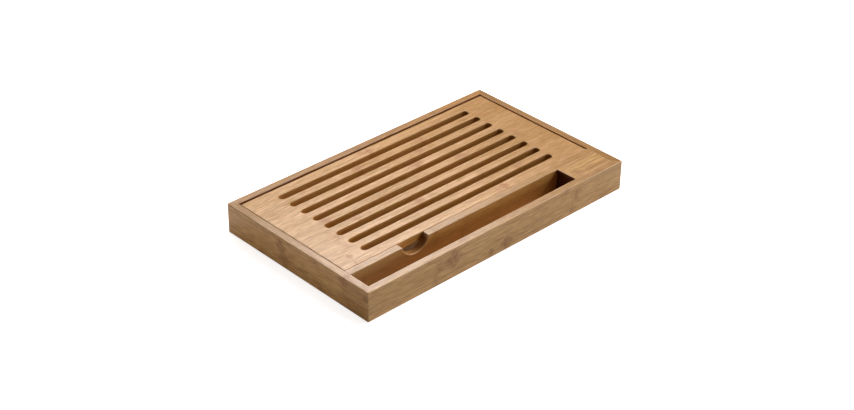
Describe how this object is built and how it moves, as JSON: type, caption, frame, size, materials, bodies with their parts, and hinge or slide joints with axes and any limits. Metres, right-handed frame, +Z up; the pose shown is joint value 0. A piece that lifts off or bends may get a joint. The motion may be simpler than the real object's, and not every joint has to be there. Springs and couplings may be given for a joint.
{
  "type": "crumb catcher bread board",
  "caption": "Bamboo bread board: a lift-out slotted board over a crumb tray, beside a long knife bay in a mitred frame.",
  "frame": {"origin": "middle of the footprint, on the surface the bread board stands on", "axes": "+X along the length towards the end block, +Y from the knife bay at the front towards the back, +Z up"},
  "size_m": [0.42, 0.25, 0.04],
  "materials": {
    "frame_bamboo": "sanded bamboo, oiled, satin",
    "board_bamboo": "sanded bamboo, oiled, satin",
    "panel_bamboo": "thin bamboo panel, satin",
    "ledge_bamboo": "sawn and sanded bamboo strip"
  },
  "bodies": {
    "tray": {"front_rail": "frame_bamboo", "right_rail": "frame_bamboo", "back_rail": "frame_bamboo", "left_rail": "frame_bamboo", "base_panel": "panel_bamboo", "knife_divider": "frame_bamboo", "end_block": "frame_bamboo", "back_ledge": "ledge_bamboo", "left_ledge": "ledge_bamboo", "right_ledge": "ledge_bamboo", "front_ledge_short": "ledge_bamboo", "front_ledge_long": "ledge_bamboo"},
    "board": {"slotted_board": "board_bamboo"}
  },
  "joints": [
    {"name": "board_lift", "type": "slide", "parent": "tray", "child": "board", "axis": [0, 0, 1], "range_m": [0, 0.06]}
  ]
}
